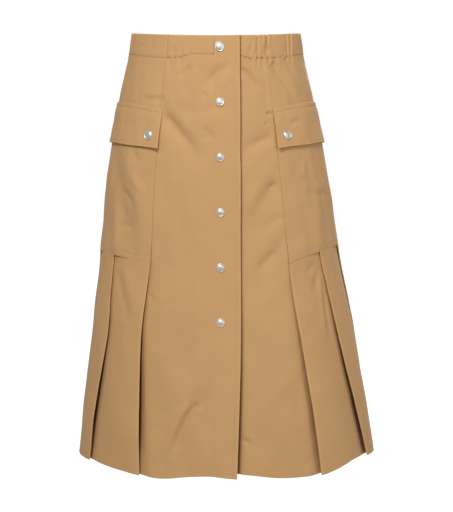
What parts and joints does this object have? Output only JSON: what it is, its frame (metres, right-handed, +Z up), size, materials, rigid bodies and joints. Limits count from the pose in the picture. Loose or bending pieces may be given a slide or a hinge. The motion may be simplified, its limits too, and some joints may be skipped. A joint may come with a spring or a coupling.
{
  "type": "pleated midi skirt",
  "caption": "Midi skirt, open at waist and hem, lapped and snapped down the front, with an elasticated band, flapped patch pockets and knife pleats at each side below them.",
  "frame": {"origin": "middle of the waist, at the height of the waistband, where the wearer's waist holds the skirt up", "axes": "+Z up, the skirt's front faces -Y, and the wearer's left side is at +X"},
  "size_m": [0.4816, 0.3598, 0.6898],
  "materials": {
    "twill": "matte tan cotton twill",
    "snap_metal": "satin silver snap caps"
  },
  "bodies": {
    "root": {"back_panel": "twill", "left_front_underlap": "twill", "left_pocket": "twill", "left_pocket_flap": "twill", "left_side_pleated": "twill", "left_side_upper": "twill", "right_front_overlap": "twill", "right_pocket": "twill", "right_pocket_flap": "twill", "right_side_pleated": "twill", "right_side_upper": "twill", "waistband_back": "twill", "waistband_left_front": "twill", "waistband_right_front": "twill", "band_snap": "snap_metal", "front_snap_1": "snap_metal", "front_snap_2": "snap_metal", "front_snap_3": "snap_metal", "front_snap_4": "snap_metal", "front_snap_5": "snap_metal", "left_flap_snap_front": "snap_metal", "left_flap_snap_rear": "snap_metal", "right_flap_snap_front": "snap_metal", "right_flap_snap_rear": "snap_metal"}
  },
  "joints": []
}
